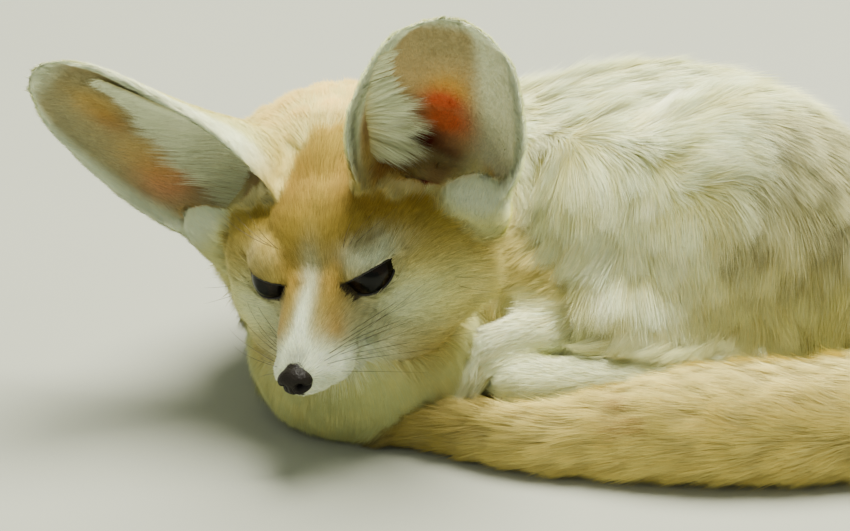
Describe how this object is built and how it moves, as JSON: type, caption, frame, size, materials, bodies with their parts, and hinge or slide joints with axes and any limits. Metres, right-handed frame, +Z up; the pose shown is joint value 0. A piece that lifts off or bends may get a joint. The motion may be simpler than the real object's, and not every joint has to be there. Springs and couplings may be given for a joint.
{
  "type": "fennec fox",
  "caption": "Fennec fox lying curled on the floor, large ears spread, chin low over the chest and the bushy tail wrapped round the feet.",
  "frame": {"origin": "on the floor under the belly, at the middle of the flat that the torso rests on", "axes": "+Z up, +X from the head end towards the rump, -Y towards the wrapped tail and the viewer"},
  "size_m": [0.3398, 0.2232, 0.1716],
  "materials": {
    "face_fur": "short soft fur",
    "gold_fur": "long soft fur",
    "cream_fur": "long soft fur",
    "pale_fur": "soft fur",
    "ear_fur": "fine short fur over skin",
    "nose_pad": "moist satin",
    "eye": "wet gloss"
  },
  "bodies": {
    "root": {"head": "face_fur", "nose": "nose_pad", "eye_left": "eye", "eye_right": "eye", "ear_left": "ear_fur", "ear_right": "ear_fur", "neck": "gold_fur", "torso": "cream_fur", "hind_leg_left": "cream_fur", "hind_leg_right": "cream_fur", "hind_foot_left": "pale_fur", "hind_foot_right": "pale_fur", "foreleg_left": "cream_fur", "foreleg_right": "cream_fur", "forepaw_left": "pale_fur", "forepaw_right": "pale_fur", "tail_root": "gold_fur", "tail_middle": "gold_fur", "tail_end": "gold_fur", "tail_tip": "gold_fur"}
  },
  "joints": []
}
